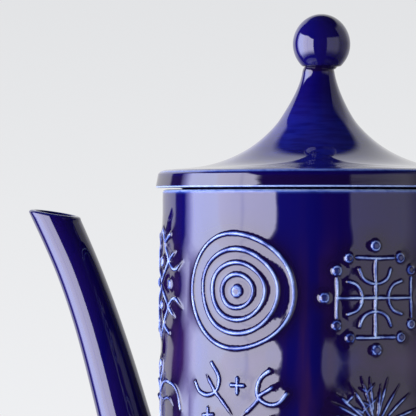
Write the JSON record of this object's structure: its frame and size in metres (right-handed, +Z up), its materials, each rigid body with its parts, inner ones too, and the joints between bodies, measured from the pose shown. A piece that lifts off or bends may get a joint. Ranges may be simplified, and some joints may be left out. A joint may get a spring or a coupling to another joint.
{
  "type": "ceramic coffee pot",
  "caption": "Tall relief-moulded cobalt blue ceramic pot for coffee or tea, with a slender curved spout, loop handle and a lift-off pointed lid with a ball finial.",
  "frame": {"origin": "centre of the footprint on the surface the pot stands on; the pot's own axis is the Z axis", "axes": "+Z up, -X towards the spout, +X towards the handle"},
  "size_m": [0.2114, 0.1076, 0.2838],
  "materials": {
    "body_glaze": "deep cobalt transparent gloss glaze, breaking pale on the raised lines",
    "spout_glaze": "deep cobalt gloss glaze, pale at the lip",
    "handle_glaze": "deep cobalt gloss glaze",
    "lid_glaze": "deep cobalt gloss glaze, pale on the flange edges",
    "knob_glaze": "deep cobalt gloss glaze"
  },
  "bodies": {
    "pot": {"pot_body": "body_glaze", "spout": "spout_glaze", "handle": "handle_glaze"},
    "lid": {"lid": "lid_glaze", "lid_knob": "knob_glaze"}
  },
  "joints": [
    {"name": "lid_lift", "type": "slide", "parent": "pot", "child": "lid", "axis": [0, 0, 1], "range_m": [0, 0.12]}
  ]
}
